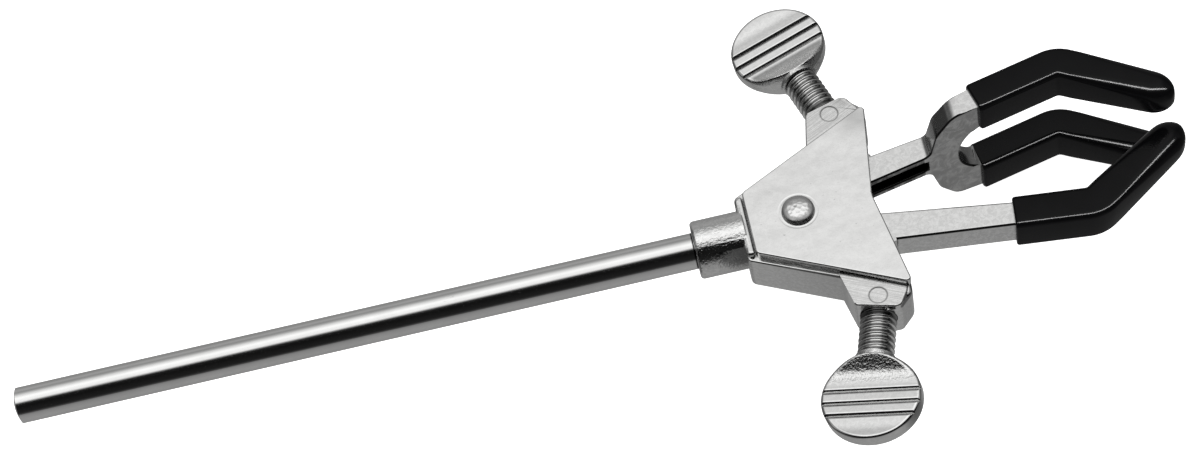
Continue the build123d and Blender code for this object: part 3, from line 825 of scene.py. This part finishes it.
# ------------------------------------------------------------ stage and light
# Brightness of the set as the metal sees it, by degrees from straight up: plus is away from
# the camera, minus is towards it and 180 is straight down.
STUDIO = (
    (-180.0, 0.27), (-140.0, 0.30), (-108.0, 0.26), (-96.0, 0.20), (-90.0, 0.05), (-80.0, 0.014),
    (-40.0, 0.006), (-26.0, 0.012), (-20.0, 0.06), (-16.0, 0.35), (-9.0, 0.9), (0.0, 0.97),
    (16.0, 1.1), (27.0, 0.85), (36.0, 0.68), (44.0, 0.46), (56.0, 0.27), (75.0, 0.36),
    (95.0, 0.26), (140.0, 0.27), (180.0, 0.27),
)
STUDIO_PEAK = 1.2
END_CARD_FROM = 0.42
END_CARD_TO = 0.72
END_CARD_VALUE = 0.3
TABLE_HALF = 3.0
TABLE_GAP = 0.5 * MM
STRIP_X = 0.03
STRIP_DISTANCE = 0.7
STRIP_LEAN = math.radians(18.0)
STRIP_SIZE = (1.8, 0.10)
STRIP_WATTS = 34.0
CAMERA_TARGET = Vector((-0.0192, 0.01075, 0.0))
CAMERA_DISTANCE = 0.6692
CAMERA_ELEVATION = 57.06
CAMERA_AZIMUTH = -2.245
CAMERA_ROLL = -14.80
CAMERA_LENS = 91.64
SENSOR_WIDTH = 36.0


def camera_axes():
    """Right, up and forward of the camera that looks at the clamp from the front and above."""
    azimuth, elevation, roll = (math.radians(d) for d in (CAMERA_AZIMUTH, CAMERA_ELEVATION, CAMERA_ROLL))
    forward = Vector((math.sin(azimuth) * math.cos(elevation),
                      math.cos(azimuth) * math.cos(elevation), -math.sin(elevation)))
    level = forward.cross(Vector((0, 0, 1))).normalized()
    upright = level.cross(forward)
    right = level * math.cos(roll) + upright * math.sin(roll)
    up = upright * math.cos(roll) - level * math.sin(roll)
    return right, up, forward


def studio_world():
    """Softbox overhead, black flag towards the camera and pale table, as seen in reflections.

    The set turns about the vertical with the camera, so that it lights every side alike.
    """
    world = bpy.data.worlds.new("studio")
    bpy.context.scene.world = world
    world.use_nodes = True
    world.cycles.sampling_method = "NONE"
    tree = world.node_tree
    tree.nodes.clear()

    def add(kind, **settings):
        return add_node(tree, kind, **settings)

    def vector(operation, first, second=None):
        node = add("ShaderNodeVectorMath", operation=operation)
        for slot, source in enumerate((first, second)):
            if isinstance(source, tuple):
                node.inputs[slot].default_value = source
            elif source is not None:
                tree.links.new(source, node.inputs[slot])
        return node.outputs["Value" if operation == "DOT_PRODUCT" else "Vector"]

    look = add("ShaderNodeVectorTransform", vector_type="VECTOR", convert_from="CAMERA",
               convert_to="WORLD")
    look.inputs[0].default_value = (0.0, 0.0, 1.0)
    level = vector("NORMALIZE", vector("MULTIPLY", look.outputs[0], (1.0, 1.0, 0.0)))
    turn = add("ShaderNodeVectorRotate", rotation_type="Z_AXIS")
    tree.links.new(level, turn.inputs["Vector"])
    turn.inputs["Angle"].default_value = math.radians(CAMERA_AZIMUTH)
    away = turn.outputs[0]
    seen = add("ShaderNodeTexCoord").outputs["Generated"]
    angle = add("ShaderNodeMath", operation="ARCTAN2")
    tree.links.new(vector("DOT_PRODUCT", seen, away), angle.inputs[0])
    tree.links.new(vector("DOT_PRODUCT", seen, (0.0, 0.0, 1.0)), angle.inputs[1])
    share = add("ShaderNodeMath", operation="MULTIPLY_ADD")
    tree.links.new(angle.outputs[0], share.inputs[0])
    share.inputs[1].default_value = 1 / (2 * math.pi)
    share.inputs[2].default_value = 0.5
    ramp = add("ShaderNodeValToRGB")
    tree.links.new(share.outputs[0], ramp.inputs[0])
    stops = ramp.color_ramp.elements
    while len(stops) < len(STUDIO):
        stops.new(0.5)
    for stop, (degrees, value) in zip(stops, STUDIO):
        stop.position = degrees / 360 + 0.5
        stop.color = grey(value / STUDIO_PEAK)
    ends = add("ShaderNodeMath", operation="ABSOLUTE")
    sideways = vector("CROSS_PRODUCT", away, (0.0, 0.0, 1.0))
    tree.links.new(vector("DOT_PRODUCT", seen, sideways), ends.inputs[0])
    card = add("ShaderNodeMapRange", interpolation_type="SMOOTHSTEP")
    for slot, source in ((1, END_CARD_FROM), (2, END_CARD_TO), (3, 1.0), (4, END_CARD_VALUE)):
        card.inputs[slot].default_value = source
    tree.links.new(ends.outputs[0], card.inputs[0])
    carded = add("ShaderNodeMix", data_type="RGBA", blend_type="MULTIPLY")
    carded.inputs["Factor"].default_value = 1.0
    tree.links.new(ramp.outputs[0], carded.inputs["A"])
    tree.links.new(card.outputs[0], carded.inputs["B"])
    reflected = add("ShaderNodeBackground")
    tree.links.new(carded.outputs["Result"], reflected.inputs["Color"])
    reflected.inputs["Strength"].default_value = STUDIO_PEAK
    soft = add("ShaderNodeBackground")
    soft.inputs["Color"].default_value = grey(0.8)
    backdrop = add("ShaderNodeBackground")
    backdrop.inputs["Color"].default_value = (1.0, 1.0, 1.0, 1.0)
    path = add("ShaderNodeLightPath")
    glossy_mix = add("ShaderNodeMixShader")
    tree.links.new(path.outputs["Is Glossy Ray"], glossy_mix.inputs[0])
    tree.links.new(soft.outputs[0], glossy_mix.inputs[1])
    tree.links.new(reflected.outputs[0], glossy_mix.inputs[2])
    camera_mix = add("ShaderNodeMixShader")
    tree.links.new(path.outputs["Is Camera Ray"], camera_mix.inputs[0])
    tree.links.new(glossy_mix.outputs[0], camera_mix.inputs[1])
    tree.links.new(backdrop.outputs[0], camera_mix.inputs[2])
    tree.links.new(camera_mix.outputs[0], add("ShaderNodeOutputWorld").inputs[0])


def floor():
    """Plain white table under the clamp, seen by the camera only, and only from above."""
    level = CAD_BOX[0][2] - TABLE_GAP
    corners = [(x * TABLE_HALF, y * TABLE_HALF, level) for x, y in ((-1, -1), (1, -1), (1, 1), (-1, 1))]
    mesh = bpy.data.meshes.new("floor")
    mesh.from_pydata(corners, [], [(0, 1, 2, 3)])
    table = bpy.data.objects.new("floor", mesh)
    bpy.context.scene.collection.objects.link(table)
    material = bpy.data.materials.new("floor_white")
    material.use_nodes = True
    principled = material.node_tree.nodes["Principled BSDF"]
    principled.inputs["Base Color"].default_value = (1.0, 1.0, 1.0, 1.0)
    principled.inputs["Emission Color"].default_value = (1.0, 1.0, 1.0, 1.0)
    principled.inputs["Emission Strength"].default_value = 1.0
    tree = material.node_tree
    from_below = add_node(tree, "ShaderNodeMixShader")
    tree.links.new(add_node(tree, "ShaderNodeNewGeometry").outputs["Backfacing"], from_below.inputs[0])
    tree.links.new(principled.outputs[0], from_below.inputs[1])
    tree.links.new(add_node(tree, "ShaderNodeBsdfTransparent").outputs[0], from_below.inputs[2])
    tree.links.new(from_below.outputs[0], tree.nodes["Material Output"].inputs["Surface"])
    mesh.materials.append(material)
    table.visible_diffuse = False
    table.visible_glossy = False
    table.visible_shadow = False


def strip_light():
    """A narrow softbox above the front edge, which draws the thin line on each sleeve."""
    data = bpy.data.lights.new("strip_light", "AREA")
    data.shape = "RECTANGLE"
    data.size, data.size_y = STRIP_SIZE
    data.energy = STRIP_WATTS
    light = bpy.data.objects.new("strip_light", data)
    light.location = (STRIP_X, -STRIP_DISTANCE * math.sin(STRIP_LEAN),
                      STRIP_DISTANCE * math.cos(STRIP_LEAN))
    light.rotation_euler = (STRIP_LEAN, 0.0, 0.0)
    bpy.context.scene.collection.objects.link(light)
    light.visible_camera = False
    light.visible_diffuse = False
    sleeves = bpy.data.collections.new("sleeves")
    for piece in SLEEVES:
        sleeves.objects.link(piece)
    light.light_linking.receiver_collection = sleeves


def photo_camera():
    """Long lens from the front and above, rolled so that the rod slopes in the picture."""
    data = bpy.data.cameras.new("camera")
    data.sensor_fit = "HORIZONTAL"
    data.sensor_width = SENSOR_WIDTH
    data.lens = CAMERA_LENS
    data.clip_start = 0.01
    data.clip_end = 20.0
    right, up, forward = camera_axes()
    camera = bpy.data.objects.new("camera", data)
    place = Matrix((right, up, -forward)).transposed().to_4x4()
    place.translation = CAMERA_TARGET - forward * CAMERA_DISTANCE
    camera.matrix_world = place
    bpy.context.scene.collection.objects.link(camera)
    bpy.context.scene.camera = camera


studio_world()
floor()
strip_light()
photo_camera()
bpy.context.scene.view_settings.view_transform = "Standard"

bpy.context.view_layer.update()
